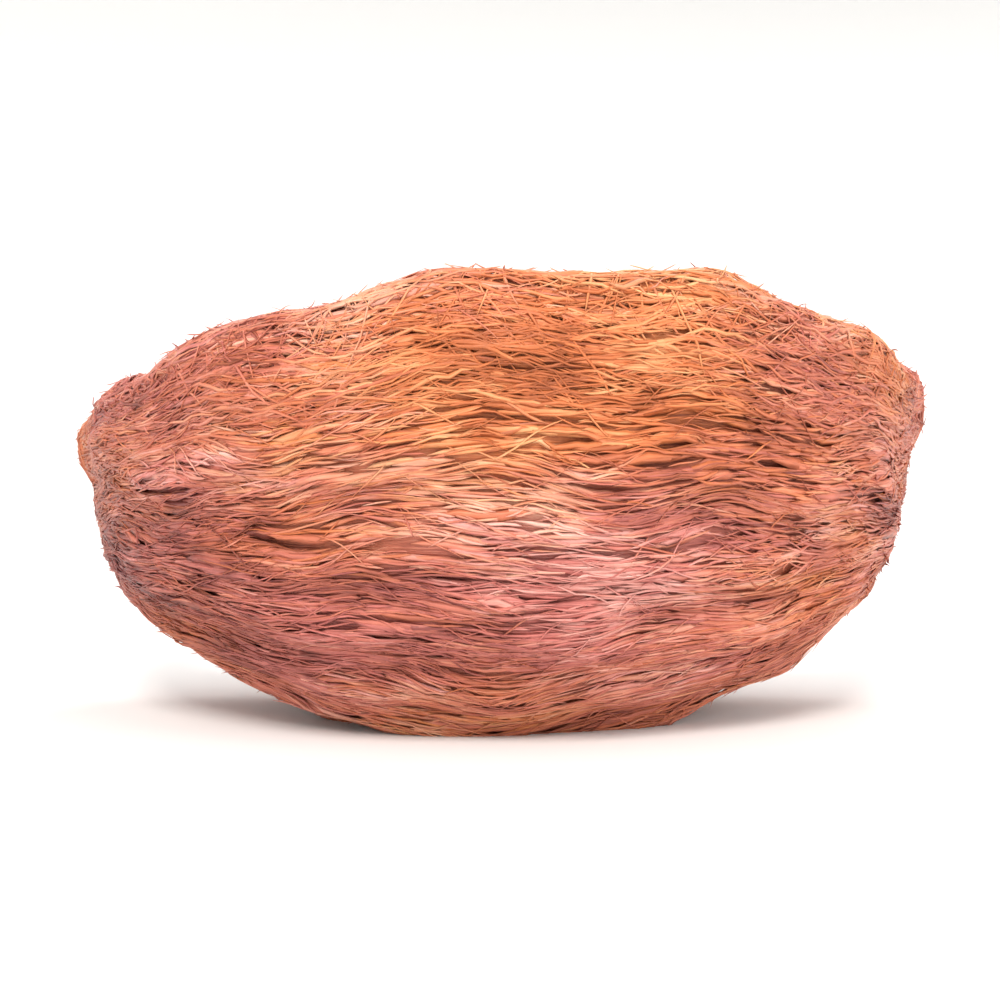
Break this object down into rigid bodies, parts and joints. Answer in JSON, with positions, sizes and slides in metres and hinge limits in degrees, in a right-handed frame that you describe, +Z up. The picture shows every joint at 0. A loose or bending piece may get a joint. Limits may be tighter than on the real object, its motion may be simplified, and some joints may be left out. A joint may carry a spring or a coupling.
{
  "type": "edible birds nest",
  "caption": "Dried edible bird's nest: a half cup of matted reddish-orange strands, with an arched thick rim, flared feet, a flat wall face and a small flat spot to rest on.",
  "frame": {"origin": "under the middle of the nest's box, on the surface it rests on", "axes": "+X from the left foot to the right foot, +Y out of the flat wall face, +Z up, out of the cup"},
  "size_m": [0.0872, 0.0482, 0.0425],
  "materials": {
    "dried_strands": "dry, matted strands with a faint satin sheen, amber orange to red-brown, paler at the rim"
  },
  "bodies": {
    "root": {"nest": "dried_strands"}
  },
  "joints": []
}
